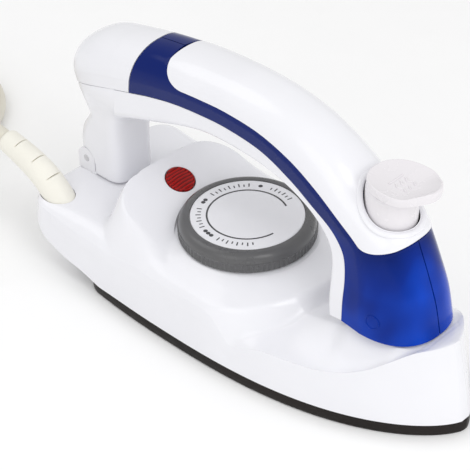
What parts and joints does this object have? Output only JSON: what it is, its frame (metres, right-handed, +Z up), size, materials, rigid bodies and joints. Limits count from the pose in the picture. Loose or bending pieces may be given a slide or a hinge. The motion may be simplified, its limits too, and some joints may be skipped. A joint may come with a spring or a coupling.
{
  "type": "folding travel steam iron",
  "caption": "Small steam iron with a soleplate, a round thermostat dial, a pilot lamp, a fold-up handle that holds a water tank, a steam button and a mains lead.",
  "frame": {"origin": "on the ironing surface, under the middle of the iron's length and width without its lead", "axes": "+X to the nose, +Z up from the soleplate's face, +Y to the iron's left side"},
  "size_m": [0.345, 0.0984, 0.0992],
  "materials": {
    "sole_coat": "baked non-stick coating, satin",
    "element_steel": "oxidised tube",
    "steel": "turned",
    "alloy": "sheet",
    "zinc": "zinc plated",
    "clear_white": "moulded",
    "silicone": "matte",
    "ceramic": "unglazed",
    "white_gloss": "glossy moulded white",
    "lens_red": "clear red, ribbed",
    "neon_glass": "clear bulb",
    "wire_brown": "insulation",
    "wire_blue": "insulation",
    "cord_pvc": "smooth sheath",
    "knob_grey": "dark grey, glossy shoulder and ribbed rim",
    "disc_white": "satin white with grey marks",
    "tank_blue": "translucent blue, glossy",
    "button_white": "glossy",
    "spring_steel": "drawn wire",
    "sleeve_cream": "soft moulded sleeve",
    "tie_plastic": "strap",
    "plug_cream": "moulded",
    "brass": "bright"
  },
  "bodies": {
    "base": {"soleplate": "sole_coat", "heating_element": "element_steel", "element_pins": "steel", "chamber_cover": "alloy", "chamber_screws": "zinc", "steam_inlet": "clear_white", "inlet_seal": "silicone", "heat_shield": "alloy", "thermostat": "ceramic", "thermal_fuse": "ceramic", "body_shell": "white_gloss", "rear_cover": "white_gloss", "cover_screws": "zinc", "lamp_lens": "lens_red", "neon_lamp": "neon_glass", "lamp_holder": "clear_white", "terminal_block": "ceramic", "wire_live": "wire_brown", "wire_neutral": "wire_blue", "cord_clamp": "clear_white", "clamp_screws": "zinc", "inner_lead": "cord_pvc", "hinge_bracket": "white_gloss", "hinge_pin": "steel", "strain_relief": "sleeve_cream", "cord": "cord_pvc", "cord_tail": "cord_pvc", "cord_coil": "cord_pvc", "coil_tie": "tie_plastic", "plug_body": "plug_cream", "plug_pins": "brass"},
    "dial": {"thermostat_shaft": "steel", "dial_knob": "knob_grey", "dial_disc": "disc_white"},
    "handle": {"lower_handle": "white_gloss", "rear_cap": "white_gloss", "tank_left": "tank_blue", "tank_right": "tank_blue", "grip_inlay": "white_gloss", "valve_guide": "clear_white", "drip_nozzle": "clear_white", "button_spring": "spring_steel"},
    "button": {"steam_button": "button_white", "needle_valve": "steel", "spring_washer": "steel"}
  },
  "joints": [
    {"name": "handle_fold", "type": "hinge", "parent": "base", "child": "handle", "pos_m": [-0.0848, 0, 0.0334], "axis": [0, -1, 0], "range_deg": [0, 80]},
    {"name": "dial_turn", "type": "hinge", "parent": "base", "child": "dial", "pos_m": [-0.01, 0, 0.0326], "axis": [0, 0, 1], "range_deg": [-135, 135]},
    {"name": "button_press", "type": "slide", "parent": "handle", "child": "button", "axis": [0, 0, -1], "range_m": [0, 0.0045], "stiffness_N_per_m": 300, "springref_m": -0.002, "deforming": ["button_spring"]}
  ]
}
